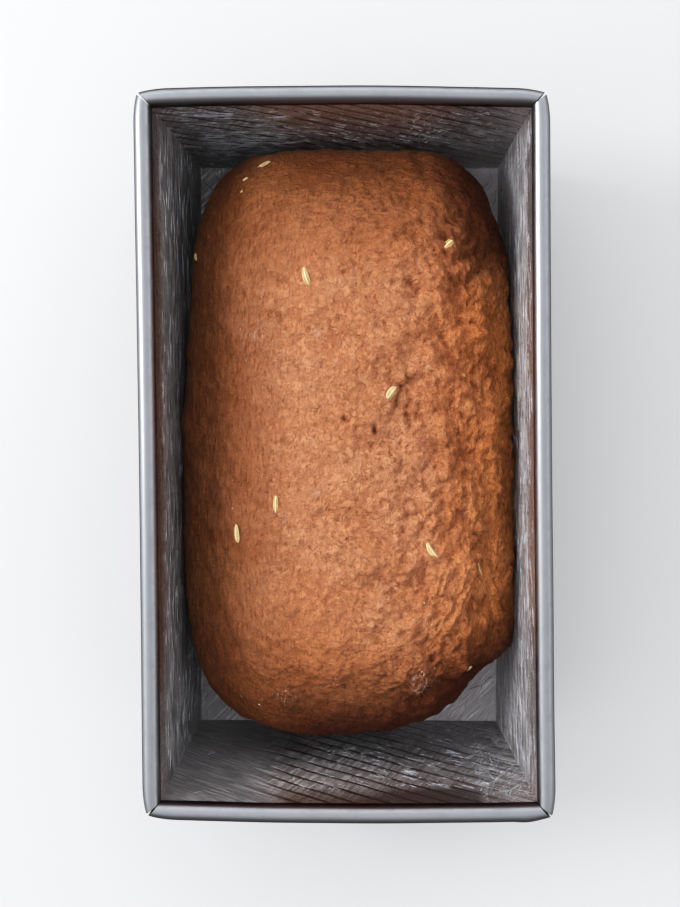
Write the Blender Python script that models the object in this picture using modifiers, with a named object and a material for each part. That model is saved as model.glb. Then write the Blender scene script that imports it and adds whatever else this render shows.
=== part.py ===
"""A shaped loaf of rye dough in its folded loaf tin.

Metres, +Z up. The tin stands on z = 0 with its length along Y, and the origin is the middle of its
underside. The walls lean outwards from a flat floor to an opening whose four edges are rolled outwards
into beads, mitred at the corners. The loaf fills the tin from wall to wall and stops short of its ends.
"""

import math

import bmesh
import bpy
from mathutils import Vector, noise

# The tin: inside sizes at the beads, and the height over all.
OPENING_WIDTH = 0.1270
OPENING_LENGTH = 0.2324
TIN_HEIGHT = 0.0708
SHEET = 0.0008
SIDE_LEAN = 0.0042
END_LEAN = 0.0055
FOLD_RADIUS = 0.0016
FOLD_STEPS = 3

# The rolled edge.
BEAD_RADIUS = 0.0030
BEAD_SIDES = 16
BEAD_PROUD = 0.00025
BEAD_BEND = 0.0060
BEAD_PINCH = 0.20
MITRE_SLOPE = 0.86
MITRE_INSET = 0.0003
WALL_INTO_BEAD = 0.0004

# How far the opening is sprung out of true: its ends bow out, its sides bow in, and it leans askew.
END_BOW = 0.0010
SIDE_BOW = 0.0003
OUT_OF_SQUARE = -0.0122
STRIPS_ALONG = 8
STRIPS_ACROSS = 6

# The loaf, measured from the tin's floor.
LOAF_HALF_WIDTH = 0.0612
LOAF_HALF_LENGTH = 0.1073
LOAF_MIDDLE = (0.0007, 0.0031)
LOAF_NARROWING = 0.055
END_FULLNESS = 0.40
WIDEST_LEVEL = 0.0270
CROWN_LEVEL = 0.0605
BASE_DROP = 0.0300
FAR_END_SQUARENESS = 4.4
NEAR_END_SQUARENESS = 3.1
TOP_SQUARENESS = 2.25
BASE_SQUARENESS = 3.2
LOAF_CLEARANCE = 0.0005
LOAF_GRID = 23
LUMP_HEIGHT = 0.0008
LUMP_SIZE = 0.017

# Swells and hollows of the loaf's outline: place (x, y), reach, and push outwards.
OUTLINE_SWELLS = (
    ((0.060, -0.068), 0.010, 0.0026),
    ((0.034, -0.099), 0.020, -0.0018),
    ((-0.012, -0.106), 0.016, 0.0016),
    ((-0.062, 0.006), 0.011, 0.0012),
    ((-0.060, 0.060), 0.018, -0.0016),
    ((-0.050, 0.096), 0.017, -0.0030),
    ((0.058, 0.058), 0.015, -0.0012),
    ((0.050, -0.092), 0.018, -0.0068),
    ((0.052, 0.094), 0.015, -0.0030),
)

FLOOR_LEVEL = SHEET
BEAD_LEVEL = TIN_HEIGHT - BEAD_RADIUS


def wall_share(z):
    """0 at the tin's floor and 1 at the middle of the beads."""
    return min(max((z - FLOOR_LEVEL) / (BEAD_LEVEL - FLOOR_LEVEL), 0.0), 1.0)


def sprung(point):
    """Where a point of the true tin lies once the opening has sprung out of square."""
    x, y, z = point
    share = wall_share(z)
    across = 2 * x / OPENING_WIDTH
    along = 2 * y / OPENING_LENGTH
    out_ends = END_BOW * share * (1 - across**2) * along
    in_sides = SIDE_BOW * share * (1 - along**2) * across
    return Vector((x - in_sides + OUT_OF_SQUARE * share * y, y + out_ends, z))


def new_collection(name):
    collection = bpy.data.collections.new(name)
    bpy.context.scene.collection.children.link(collection)
    return collection


def plain_material(name, colour, roughness, metallic):
    material = bpy.data.materials.new(name)
    material.use_nodes = True
    shader = material.node_tree.nodes["Principled BSDF"]
    shader.inputs["Base Color"].default_value = (*colour, 1.0)
    shader.inputs["Roughness"].default_value = roughness
    shader.inputs["Metallic"].default_value = metallic
    material.diffuse_color = (*colour, 1.0)
    return material


def mesh_object(name, bm, collection):
    mesh = bpy.data.meshes.new(name)
    bmesh.ops.recalc_face_normals(bm, faces=bm.faces)
    bm.to_mesh(mesh)
    bm.free()
    piece = bpy.data.objects.new(name, mesh)
    collection.objects.link(piece)
    return piece


def cut_across(bm, normal, places):
    """Adds an edge round the mesh at each place along the normal, so that it can bend there."""
    for place in places:
        geometry = bm.verts[:] + bm.edges[:] + bm.faces[:]
        bmesh.ops.bisect_plane(
            bm, geom=geometry, dist=1e-7, plane_co=normal * place, plane_no=normal
        )


def even_places(length, strips):
    return [length * (i / strips - 0.5) for i in range(1, strips)]


def folded_tray(collection):
    """The floor and the four leaning walls as one open sheet, rounded at its folds, thickened outwards."""
    bm = bmesh.new()
    bmesh.ops.create_cube(bm, size=2)
    top = BEAD_LEVEL + WALL_INTO_BEAD
    past_bead = (top - FLOOR_LEVEL) / (BEAD_LEVEL - FLOOR_LEVEL)
    for corner in bm.verts:
        share = past_bead if corner.co.z > 0 else 0.0
        corner.co.x *= OPENING_WIDTH / 2 - SIDE_LEAN * (1 - share)
        corner.co.y *= OPENING_LENGTH / 2 - END_LEAN * (1 - share)
        corner.co.z = top if corner.co.z > 0 else FLOOR_LEVEL
    lid = [face for face in bm.faces if face.normal.z > 0.9]
    bmesh.ops.delete(bm, geom=lid, context="FACES")
    cut_across(bm, Vector((1, 0, 0)), even_places(OPENING_WIDTH, STRIPS_ACROSS))
    cut_across(bm, Vector((0, 1, 0)), even_places(OPENING_LENGTH, STRIPS_ALONG))
    tray = mesh_object("tin", bm, collection)
    folds = tray.modifiers.new("folds", "BEVEL")
    folds.width = FOLD_RADIUS
    folds.segments = FOLD_STEPS
    folds.limit_method = "ANGLE"
    sheet = tray.modifiers.new("sheet", "SOLIDIFY")
    sheet.thickness = SHEET
    sheet.offset = 1
    sheet.use_even_offset = True
    return tray


def bead_places(half_length):
    """Distances along a bead: evenly spaced, then closer together where it bends in at each end."""
    bend = [half_length - BEAD_BEND * share for share in (0.12, 0.28, 0.5, 0.75, 1.0)]
    middle = even_places(2 * (half_length - BEAD_BEND), STRIPS_ALONG)
    return [-place for place in bend] + middle + bend


def rolled_bead(name, half_length, collection):
    """One wall's rolled edge along local X, with its inner side on local Y = 0 and both ends mitred."""
    bm = bmesh.new()
    bmesh.ops.create_cone(
        bm,
        cap_ends=True,
        segments=BEAD_SIDES,
        radius1=BEAD_RADIUS,
        radius2=BEAD_RADIUS,
        depth=2 * half_length,
    )
    cut_across(bm, Vector((0, 0, 1)), bead_places(half_length))
    for vertex in bm.verts:
        height, out, along = vertex.co.x, vertex.co.y + BEAD_RADIUS, vertex.co.z
        bend = max(0.0, 1 - (half_length - abs(along)) / BEAD_BEND)
        out *= 1 - BEAD_PINCH * bend**2
        mitred = abs(along) + MITRE_SLOPE * bend * out
        vertex.co = (math.copysign(mitred, along), out - BEAD_PROUD, height)
    return mesh_object(name, bm, collection)


def tin_beads(collection):
    """The four beads, each turned to its own wall."""
    side_run = OPENING_LENGTH / 2 - MITRE_INSET
    end_run = OPENING_WIDTH / 2 - MITRE_INSET
    walls = (
        ("bead_left", side_run, (-OPENING_WIDTH / 2, 0), math.pi / 2),
        ("bead_right", side_run, (OPENING_WIDTH / 2, 0), -math.pi / 2),
        ("bead_far", end_run, (0, OPENING_LENGTH / 2), 0.0),
        ("bead_near", end_run, (0, -OPENING_LENGTH / 2), math.pi),
    )
    beads = []
    for name, run, (x, y), turn in walls:
        bead = rolled_bead(name, run, collection)
        bead.location = (x, y, BEAD_LEVEL)
        bead.rotation_euler = (0, 0, turn)
        bead.hide_render = True
        bead.display_type = "WIRE"
        beads.append(bead)
    return beads


def make_tin(collection, tools):
    """The tray with its beads joined on, then sprung out of square as one sheet."""
    tray = folded_tray(collection)
    beads = tin_beads(tools)
    for bead in beads:
        join = tray.modifiers.new(bead.name, "BOOLEAN")
        join.operation = "UNION"
        join.object = bead
    bpy.context.view_layer.update()
    whole = tray.evaluated_get(bpy.context.evaluated_depsgraph_get())
    mesh = bpy.data.meshes.new_from_object(whole)
    tray.modifiers.clear()
    tray.data = mesh
    for bead in beads:
        bpy.data.objects.remove(bead)
    for vertex in mesh.vertices:
        vertex.co = sprung(vertex.co)
    mesh.shade_smooth()
    mesh.set_sharp_from_angle(angle=math.radians(35))
    mesh.materials.clear()
    mesh.materials.append(plain_material("aluminised_steel", (0.42, 0.42, 0.44), 0.34, 1.0))
    return tray


def on_pillow(corner):
    """Maps a point of the cube from -1 to 1 to a squared pillow: flat-sided in plan, domed on top."""
    x, y, z = corner
    plan = FAR_END_SQUARENESS if y > 0 else NEAR_END_SQUARENESS
    rise = TOP_SQUARENESS if z > 0 else BASE_SQUARENESS
    flat = (abs(x) ** plan + abs(y) ** plan) ** (1 / plan)
    size = (flat**rise + abs(z) ** rise) ** (1 / rise)
    return Vector((x, y, z)) / size


def swollen(point):
    """Pushes the loaf's outline in or out at its named swells."""
    outwards = Vector((point.x, point.y, 0))
    if outwards.length > 0:
        outwards.normalize()
    push = 0.0
    for (x, y), reach, amount in OUTLINE_SWELLS:
        away = math.hypot(point.x - x, point.y - y) / reach
        push += amount * math.exp(-(away**2))
    return point + outwards * push


def pressed_in_tin(point):
    """Flattens the dough where it meets the floor and the side walls."""
    x, y, z = point
    z = max(z, FLOOR_LEVEL + LOAF_CLEARANCE)
    most = OPENING_WIDTH / 2 - SIDE_LEAN * (1 - wall_share(z)) - LOAF_CLEARANCE
    return Vector((min(max(x, -most), most), y, z))


def make_loaf(collection):
    """One lump of dough, from a cube rounded into a pillow and pressed between the tin's walls."""
    bm = bmesh.new()
    bmesh.ops.create_cube(bm, size=2)
    bmesh.ops.subdivide_edges(bm, edges=bm.edges[:], cuts=LOAF_GRID - 1, use_grid_fill=True)
    for vertex in bm.verts:
        spread = Vector([math.tan(c * math.pi / 4) for c in vertex.co])
        pillow = on_pillow(spread)
        rise = CROWN_LEVEL - WIDEST_LEVEL if pillow.z > 0 else BASE_DROP
        width = LOAF_HALF_WIDTH * (1 - LOAF_NARROWING * pillow.y)
        filled = pillow.y * (1 + END_FULLNESS * (1 - abs(pillow.y)))
        point = Vector((pillow.x * width, filled * LOAF_HALF_LENGTH, WIDEST_LEVEL))
        point += Vector((*LOAF_MIDDLE, pillow.z * rise))
        point = swollen(point)
        lump = noise.noise(point / LUMP_SIZE) * LUMP_HEIGHT
        point.z += lump * max(pillow.z, 0.0) ** 0.5
        vertex.co = sprung(pressed_in_tin(point))
    loaf = mesh_object("dough_loaf", bm, collection)
    loaf.data.shade_smooth()
    loaf.data.materials.append(plain_material("rye_dough", (0.40, 0.19, 0.09), 0.75, 0.0))
    return loaf


for old in list(bpy.data.objects):
    bpy.data.objects.remove(old, do_unlink=True)

model = new_collection("rye_loaf_in_tin")
shaping = new_collection("shaping_tools")
make_tin(model, shaping)
make_loaf(model)
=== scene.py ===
"""A shaped loaf of rye dough in its greased steel loaf tin, with fennel seeds and a trace of rye flour.

Metres, +Z up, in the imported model's own frame. The sections follow the work: the tin is folded, its
edges are rolled and it is brushed with fat, then the loaf is laid in, and seeds and flour lie on it.
"""

import math

import bmesh
import bpy
import numpy as np
from mathutils import Matrix, Vector, noise
from mathutils.bvhtree import BVHTree


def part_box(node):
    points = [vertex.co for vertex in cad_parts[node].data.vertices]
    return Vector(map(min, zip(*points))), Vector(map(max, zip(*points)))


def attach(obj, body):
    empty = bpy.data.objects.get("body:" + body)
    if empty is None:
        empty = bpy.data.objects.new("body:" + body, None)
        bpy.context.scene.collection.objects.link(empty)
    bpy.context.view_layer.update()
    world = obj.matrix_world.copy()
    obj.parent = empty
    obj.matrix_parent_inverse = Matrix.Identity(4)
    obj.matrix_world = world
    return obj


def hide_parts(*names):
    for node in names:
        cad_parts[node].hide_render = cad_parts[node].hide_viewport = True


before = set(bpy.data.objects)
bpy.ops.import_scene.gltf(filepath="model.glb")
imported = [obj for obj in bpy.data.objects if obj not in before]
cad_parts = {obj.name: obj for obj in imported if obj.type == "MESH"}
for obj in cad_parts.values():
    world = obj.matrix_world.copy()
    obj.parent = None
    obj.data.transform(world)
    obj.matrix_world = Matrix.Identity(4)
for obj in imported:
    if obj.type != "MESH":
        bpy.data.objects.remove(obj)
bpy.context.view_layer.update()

# ---------------------------------------------------------------------------------------------------
# The tray of the tin: one blank of 0.8 mm aluminised steel, folded up into a flat floor and four
# leaning walls. Its opening has sprung out of square, and its walls are a little wavy from use.
SHEET = 0.0008
OPENING_WIDTH = 0.1270
OPENING_LENGTH = 0.2324
SIDE_LEAN = 0.0042
END_LEAN = 0.0055
BEAD_RADIUS = 0.0030
FLOOR_LEVEL = SHEET
BEAD_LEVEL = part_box("tin")[1].z - BEAD_RADIUS
END_BOW = 0.0010
SIDE_BOW = 0.0003
OUT_OF_SQUARE = -0.0122
FOLD_RADIUS = 0.0012
FOLD_STEPS = 4
WALL_INTO_BEAD = 0.0004
STRIPS_ACROSS = 24
STRIPS_ALONG = 44
STRIPS_UP = 14
SHEET_WAVE = 0.00012
SHEET_WAVE_SIZE = 0.024


def wall_share(z):
    """0 at the tin's floor and 1 at the middle of its rolled edges."""
    return np.clip((z - FLOOR_LEVEL) / (BEAD_LEVEL - FLOOR_LEVEL), 0, 1)


def sprung(points):
    """Where points of the true tin lie once its opening has sprung out of square."""
    x, y, z = points.T
    share = wall_share(z)
    across = 2 * x / OPENING_WIDTH
    along = 2 * y / OPENING_LENGTH
    out_ends = END_BOW * share * (1 - across**2) * along
    in_sides = SIDE_BOW * share * (1 - along**2) * across
    return np.column_stack((x - in_sides + OUT_OF_SQUARE * share * y, y + out_ends, z))


def rough(points, size, seed=0.0):
    """Smooth noise from about -1 to 1 at each point, with lumps of this size in x, y and z."""
    places = points / np.broadcast_to(size, 3) + seed
    return np.array([noise.noise(place) for place in places.tolist()])


def points_of(mesh):
    flat = np.empty(3 * len(mesh.vertices), np.float32)
    mesh.vertices.foreach_get("co", flat)
    return flat.reshape(-1, 3).astype(float)


def set_points(mesh, points):
    mesh.vertices.foreach_set("co", points.astype(np.float32).ravel())
    mesh.update()


def new_piece(name, mesh):
    piece = bpy.data.objects.new(name, mesh)
    bpy.context.scene.collection.objects.link(piece)
    return piece


def cut_across(bm, normal, places):
    """Adds an edge round the mesh at each place along the normal, so that it can bend there."""
    for place in places:
        geometry = bm.verts[:] + bm.edges[:] + bm.faces[:]
        bmesh.ops.bisect_plane(bm, geom=geometry, dist=1e-7, plane_co=normal * place, plane_no=normal)


def even_places(length, strips):
    return [length * (i / strips - 0.5) for i in range(1, strips)]


def folded_tray():
    """The floor and the four walls as one sheet, rounded at its folds and thickened outwards."""
    bm = bmesh.new()
    bmesh.ops.create_cube(bm, size=2)
    top = BEAD_LEVEL + WALL_INTO_BEAD
    past_bead = (top - FLOOR_LEVEL) / (BEAD_LEVEL - FLOOR_LEVEL)
    for corner in bm.verts:
        share = past_bead if corner.co.z > 0 else 0.0
        corner.co.x *= OPENING_WIDTH / 2 - SIDE_LEAN * (1 - share)
        corner.co.y *= OPENING_LENGTH / 2 - END_LEAN * (1 - share)
        corner.co.z = top if corner.co.z > 0 else FLOOR_LEVEL
    lid = [face for face in bm.faces if face.normal.z > 0.9]
    bmesh.ops.delete(bm, geom=lid, context="FACES")
    levels = [FLOOR_LEVEL + top * step / STRIPS_UP for step in range(1, STRIPS_UP)]
    cut_across(bm, Vector((1, 0, 0)), even_places(OPENING_WIDTH, STRIPS_ACROSS))
    cut_across(bm, Vector((0, 1, 0)), even_places(OPENING_LENGTH, STRIPS_ALONG))
    cut_across(bm, Vector((0, 0, 1)), levels)
    mesh = bpy.data.meshes.new("tray")
    bm.to_mesh(mesh)
    bm.free()
    tray = new_piece("tray", mesh)
    folds = tray.modifiers.new("folds", "BEVEL")
    folds.width = FOLD_RADIUS
    folds.segments = FOLD_STEPS
    folds.limit_method = "ANGLE"
    sheet = tray.modifiers.new("sheet", "SOLIDIFY")
    sheet.thickness = SHEET
    sheet.offset = 1
    bpy.context.view_layer.update()
    whole = tray.evaluated_get(bpy.context.evaluated_depsgraph_get())
    made = bpy.data.meshes.new_from_object(whole)
    tray.modifiers.clear()
    tray.data = made
    return tray


# The brush strokes on each wall: their slant to its length, seen from inside the tin, and a shift that
# gives each wall strokes of its own.
STROKES = {
    "near": (0.54, 1.10),
    "far": (-0.50, 1.02),
    "left": (0.05, 1.08),
    "right": (-0.06, 1.14),
    "floor": (0.80, 1.02),
}
# The fat on each wall: how covered, ridged and thick it is, and how much painted loaf reflection tints the
# steel. 1 is full.
WALL_FAT = {
    "near": (0.70, 1.00, 0.08, 1.00),
    "far": (0.70, 0.85, 0.08, 0.20),
    "left": (0.80, 0.20, 0.09, 1.00),
    "right": (0.92, 0.25, 0.34, 1.00),
    # The floor's thick pale fat is partly painted light on a shaded floor.
    "floor": (0.98, 0.00, 1.10, 0.25),
}
NO_FAT = ((0.0, 0.0, 0.0, 0.0), 0.0)


def wall_facing(normal):
    """Which wall a face belongs to, from the way it faces."""
    if abs(normal.z) > 0.7:
        return "floor"
    if abs(normal.x) > abs(normal.y):
        return "left" if normal.x > 0 else "right"
    return "near" if normal.y > 0 else "far"


def along_and_up(wall, x, y, z):
    """A place on a wall, as the distance along the wall and the distance up it."""
    if wall == "floor":
        return y, x
    if wall in ("near", "far"):
        return x, z
    return y, z


def step_up(value, low, high):
    """0 below low, 1 above high, and a smooth rise between."""
    t = np.clip((value - low) / (high - low), 0, 1)
    return t * t * (3 - 2 * t)


def fat_at(wall, along, up):
    """The wall's fat and painted loaf reflection at one place, the fat wiped thinner at the rim and uneven
    along the wall.
    """
    cover, ridges, thick, painted_reflection = WALL_FAT[wall]
    hazy = 0.0
    rim = step_up(up, 0.050, 0.064)
    if wall == "near":
        hazy = 1 - step_up(along, -0.036, -0.020)
        corner = step_up(along, 0.038, 0.052)
        bare = rim * (1 - hazy) * (1 - 0.6 * corner)
        thin = step_up(along, -0.005, 0.030) * (1 - corner)
        cover += 0.20 * hazy - 0.56 * bare - 0.28 * thin
        ridges *= (1 - hazy) * (1 - 0.6 * corner)
        thick += 0.22 * hazy
        painted_reflection *= step_up(up, 0.024, 0.056) * (1 - hazy) * (1 - 0.5 * corner)
    elif wall == "far":
        middle = step_up(along, -0.036, -0.016)
        cover -= 0.42 * middle * step_up(up, 0.022, 0.048)
        painted_reflection += 0.80 * middle
    elif wall == "left":
        # Painted shade: towards its near end the left wall's fat is painted darker.
        near_end = 1 - step_up(along, -0.100, -0.060)
        cover += 0.14 * near_end - 0.70 * rim
        thick -= 0.09 * near_end
        painted_reflection *= rim
    elif wall == "right":
        cover -= 0.82 * rim
        painted_reflection *= rim
    else:
        # Painted light and shade on the floor: the fat is painted paler towards the right and darker
        # towards the far left.
        right = step_up(up, -0.030, 0.030)
        thick += 0.45 * right - 0.45 * (1 - right) * step_up(along, -0.05, 0.08)
    return (cover, ridges, thick, 0.85 * hazy), painted_reflection


tray = folded_tray()
tray_mesh = tray.data
true_points = points_of(tray_mesh)
tray_mesh.uv_layers.new(name="brushing")
tray_mesh.color_attributes.new("fat", "FLOAT_COLOR", "CORNER")
# A painted reflection: the warm brown of the loaf, painted on the bare steel inside the tin.
tray_mesh.attributes.new("painted_reflection", "FLOAT", "CORNER")
brushing = tray_mesh.uv_layers["brushing"]
painted = tray_mesh.color_attributes["fat"]
reflection_layer = tray_mesh.attributes["painted_reflection"]
tin_middle = Vector((0, 0, BEAD_LEVEL / 2))
for face in tray_mesh.polygons:
    wall = wall_facing(face.normal)
    slant, shift = STROKES[wall]
    inside = face.normal.dot(tin_middle - face.center) > 0
    for corner in face.loop_indices:
        place = true_points[tray_mesh.loops[corner].vertex_index]
        along, up = along_and_up(wall, *place)
        fat, painted_reflection = fat_at(wall, along, up) if inside else NO_FAT
        u = along * math.cos(slant) + up * math.sin(slant)
        v = up * math.cos(slant) - along * math.sin(slant)
        brushing.uv[corner].vector = (u + shift, v)
        painted.data[corner].color = fat
        reflection_layer.data[corner].value = painted_reflection
wavy = true_points.copy()
for axis, seed in ((0, 3.1), (1, 7.7)):
    wavy[:, axis] += rough(true_points, SHEET_WAVE_SIZE, seed) * SHEET_WAVE
set_points(tray_mesh, sprung(wavy))
tray_mesh.shade_smooth()
tray_mesh.set_sharp_from_angle(angle=math.radians(40))


def add(tree, kind, inputs=None, **settings):
    """Adds a node. Each of its inputs is linked to an output or set to a value."""
    made = tree.nodes.new(kind)
    for name, value in settings.items():
        setattr(made, name, value)
    for name, value in (inputs or {}).items():
        if isinstance(value, bpy.types.NodeSocket):
            tree.links.new(value, made.inputs[name])
        else:
            made.inputs[name].default_value = value
    return made


def connect(tree, node, outputs):
    """Links an output to each named input of a node."""
    for name, output in outputs.items():
        tree.links.new(output, node.inputs[name])


def kept(tree, name):
    """A value kept on the mesh under this name."""
    return add(tree, "ShaderNodeAttribute", attribute_name=name).outputs["Fac"]


def reckon(tree, operation, *values):
    """One step of arithmetic."""
    return add(tree, "ShaderNodeMath", dict(enumerate(values)), operation=operation).outputs[0]


def between(tree, value, low, high, to_low=0.0, to_high=1.0):
    """Maps a value from one range to another with a smooth step, held at its ends."""
    ends = {"Value": value, "From Min": low, "From Max": high, "To Min": to_low, "To Max": to_high}
    return add(tree, "ShaderNodeMapRange", ends, interpolation_type="SMOOTHSTEP").outputs[0]


def blend(tree, share, first, second, mode="MIX"):
    """Blends two colours."""
    made = add(tree, "ShaderNodeMix", data_type="RGBA", blend_type=mode)
    for index, value in ((0, share), (6, first), (7, second)):
        if isinstance(value, bpy.types.NodeSocket):
            tree.links.new(value, made.inputs[index])
        else:
            made.inputs[index].default_value = value
    return made.outputs[2]


def mixed(tree, share, first, second):
    """Blends two values."""
    return add(tree, "ShaderNodeMix", {0: share, 2: first, 3: second}).outputs[0]


def grain(tree, place, scale, detail=2.0, roughness=0.5, distortion=0.0):
    """Noise from 0 to 1, stretched by a scale along each axis."""
    spread = add(tree, "ShaderNodeVectorMath", {0: place, 1: scale}, operation="MULTIPLY").outputs[0]
    settings = {"Vector": spread, "Scale": 1.0, "Detail": detail, "Roughness": roughness}
    return add(tree, "ShaderNodeTexNoise", {**settings, "Distortion": distortion}).outputs["Fac"]


def new_group(name, inputs, outputs):
    """A node group with named sockets. Gives the group, its inputs and its output node."""
    tree = bpy.data.node_groups.new(name, "ShaderNodeTree")
    for label, kind, value in inputs:
        socket = tree.interface.new_socket(label, in_out="INPUT", socket_type=kind)
        if value is not None:
            socket.default_value = value
    for label in outputs:
        tree.interface.new_socket(label, in_out="OUTPUT", socket_type="NodeSocketFloat")
    given = tree.nodes.new("NodeGroupInput").outputs
    return tree, given, tree.nodes.new("NodeGroupOutput")


def new_material(name, settings=None):
    """A material, its tree and its shader, whose constant values are set on their own sockets."""
    material = bpy.data.materials.new(name)
    material.use_nodes = True
    tree = material.node_tree
    shader = tree.nodes["Principled BSDF"]
    for label, value in (settings or {}).items():
        shader.inputs[label].default_value = value
    return material, tree, shader


FLOAT, VECTOR = "NodeSocketFloat", "NodeSocketVector"

# Rolled steel: a fine grain along the sheet, with cloudy patches where the coating has dulled.
steel_grain, given, result = new_group(
    "rolled steel grain", [("Place", VECTOR, None), ("Dulling", FLOAT, 0.5)], ["Tone", "Gloss", "Height"]
)
fine = grain(steel_grain, given["Place"], (90, 5200, 5200), detail=3)
cloud = grain(steel_grain, given["Place"], (160, 260, 260), detail=4, roughness=0.6)
dulled = reckon(steel_grain, "MULTIPLY", between(steel_grain, cloud, 0.42, 0.68), given["Dulling"])
tone = reckon(steel_grain, "MULTIPLY_ADD", fine, 0.22, 0.78)
tone = reckon(steel_grain, "MULTIPLY_ADD", dulled, -0.16, tone)
gloss = reckon(steel_grain, "MULTIPLY", dulled, 0.14)
connect(steel_grain, result, {"Tone": tone, "Gloss": gloss, "Height": fine})

# Brushed fat: bristles leave parallel ridges with a thin bare groove between them, finely streaked.
brushed_fat, given, result = new_group(
    "brushed fat",
    [("Strokes", VECTOR, None), ("Cover", FLOAT, 0.5), ("Ridges", FLOAT, 1.0), ("Spacing", FLOAT, 0.005)],
    ["Film", "Pale", "Groove", "Height"],
)
split = add(brushed_fat, "ShaderNodeSeparateXYZ", {0: given["Strokes"]})
wander = grain(brushed_fat, given["Strokes"], (22, 60, 0), detail=1)
across = reckon(brushed_fat, "DIVIDE", split.outputs["Y"], given["Spacing"])
across = reckon(brushed_fat, "MULTIPLY_ADD", wander, 0.8, across)
phase = reckon(brushed_fat, "FRACT", across)
groove = between(brushed_fat, reckon(brushed_fat, "PINGPONG", phase, 0.5), 0.03, 0.17)
scraped = reckon(brushed_fat, "MULTIPLY", reckon(brushed_fat, "SUBTRACT", 1.0, groove), given["Ridges"])
band = reckon(brushed_fat, "MULTIPLY", reckon(brushed_fat, "SUBTRACT", across, phase), 0.37)
shifted = add(brushed_fat, "ShaderNodeCombineXYZ", {0: split.outputs["X"], 1: split.outputs["Y"], 2: band})
hatch = grain(brushed_fat, shifted.outputs[0], (950, 130, 1), detail=3, roughness=0.55)
streak = grain(brushed_fat, given["Strokes"], (75, 1100, 0), detail=4, roughness=0.60)
smear = grain(brushed_fat, given["Strokes"], (34, 150, 0), detail=4, roughness=0.60, distortion=1.2)
hatched = reckon(brushed_fat, "MULTIPLY", given["Ridges"], 0.65)
lines = mixed(brushed_fat, hatched, streak, hatch)
ridge = mixed(brushed_fat, given["Ridges"], 1.0, groove)
body = reckon(brushed_fat, "MULTIPLY", ridge, between(brushed_fat, lines, 0.30, 0.62, 0.35, 1.0))
film = reckon(brushed_fat, "MULTIPLY", body, given["Cover"])
pale = between(brushed_fat, lines, 0.45, 0.58)
pale = reckon(brushed_fat, "MULTIPLY", pale, between(brushed_fat, smear, 0.34, 0.62, 0.45, 1.0))
pale = reckon(brushed_fat, "MULTIPLY", pale, film)
height = reckon(brushed_fat, "MULTIPLY_ADD", pale, 0.7, film)
connect(brushed_fat, result, {"Film": film, "Pale": pale, "Groove": scraped, "Height": height})

BRISTLE_SPACING = 0.0052
CLEAN_STEEL = ((0.22, 0.21, 0.22, 1), (0.48, 0.46, 0.47, 1))
# Painted reflection: bare steel tinted with the loaf's brown where the loaf would show in it.
REFLECTION_TINTED_STEEL = ((0.42, 0.37, 0.365, 1), (0.88, 0.78, 0.76, 1))
FAT_TINTS = ((0.020, 0.021, 0.026, 1), (0.80, 0.78, 0.80, 1))
# Painted shade in the grooves between the fat's ridges.
GROOVE_SHADE = (0.030, 0.024, 0.022, 1)

greased_steel, tree, shader = new_material("greased_steel")
strokes = add(tree, "ShaderNodeUVMap", uv_map="brushing").outputs[0]
fat = add(tree, "ShaderNodeVertexColor", layer_name="fat").outputs
amounts = add(tree, "ShaderNodeSeparateColor", {0: fat["Color"]}).outputs
cover, ridges, thick = amounts["Red"], amounts["Green"], amounts["Blue"]
steel = add(tree, "ShaderNodeGroup", node_tree=steel_grain)
connect(tree, steel, {"Place": strokes})
brushed = add(tree, "ShaderNodeGroup", node_tree=brushed_fat)
brushed.inputs["Spacing"].default_value = BRISTLE_SPACING
connect(tree, brushed, {"Strokes": strokes, "Cover": cover, "Ridges": ridges})
clean = blend(tree, steel.outputs["Tone"], *CLEAN_STEEL)
reflection_tinted = blend(tree, steel.outputs["Tone"], *REFLECTION_TINTED_STEEL)
bare = blend(tree, kept(tree, "painted_reflection"), clean, reflection_tinted)
share = reckon(tree, "MAXIMUM", brushed.outputs["Film"], reckon(tree, "MULTIPLY", thick, 0.80))
share = mixed(tree, fat["Alpha"], reckon(tree, "MINIMUM", share, 0.97), 0.72)
streaky = reckon(tree, "MULTIPLY_ADD", fat["Alpha"], -0.80, 1.0)
bristled = reckon(tree, "MULTIPLY", brushed.outputs["Pale"], between(tree, thick, 0.20, 0.90, 1.10, 0.45))
whiteness = reckon(tree, "MULTIPLY_ADD", thick, 0.62, reckon(tree, "MULTIPLY", bristled, streaky))
greased = blend(tree, share, bare, blend(tree, whiteness, *FAT_TINTS))
# The grooves between the bristle ridges are painted nearly black, as painted shade.
grooved = reckon(tree, "MULTIPLY", brushed.outputs["Groove"], 0.55)
dull = reckon(tree, "MULTIPLY_ADD", share, 0.20, 0.20)
height = reckon(tree, "MULTIPLY", brushed.outputs["Height"], streaky)
relief = add(tree, "ShaderNodeBump", {"Height": height, "Distance": 0.0005, "Strength": 0.9})
surface = {
    "Base Color": blend(tree, grooved, greased, GROOVE_SHADE),
    "Metallic": reckon(tree, "MULTIPLY_ADD", share, -0.85, 1.0),
    "Roughness": reckon(tree, "ADD", dull, steel.outputs["Gloss"]),
    "Normal": relief.outputs[0],
}
connect(tree, shader, surface)
tray_mesh.materials.append(greased_steel)

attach(tray, "root")
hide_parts("tin")

# ---------------------------------------------------------------------------------------------------
# The rolled edges: the top of each wall curled outwards over a mandrel into a hollow bead, cut to a
# mitre at its ends and pinched in where it meets its neighbour, which leaves a small open wedge.
BEAD_PROUD = 0.00025
BEAD_BEND = 0.0060
BEAD_PINCH = 0.20
MITRE_SLOPE = 0.86
MITRE_INSET = 0.0003
BEND_FLATTENING = 0.07
CURL_STEPS = 30
CURL_ENDS_AT = math.radians(-150)
CURL_STEP_LENGTH = 0.0006
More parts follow.
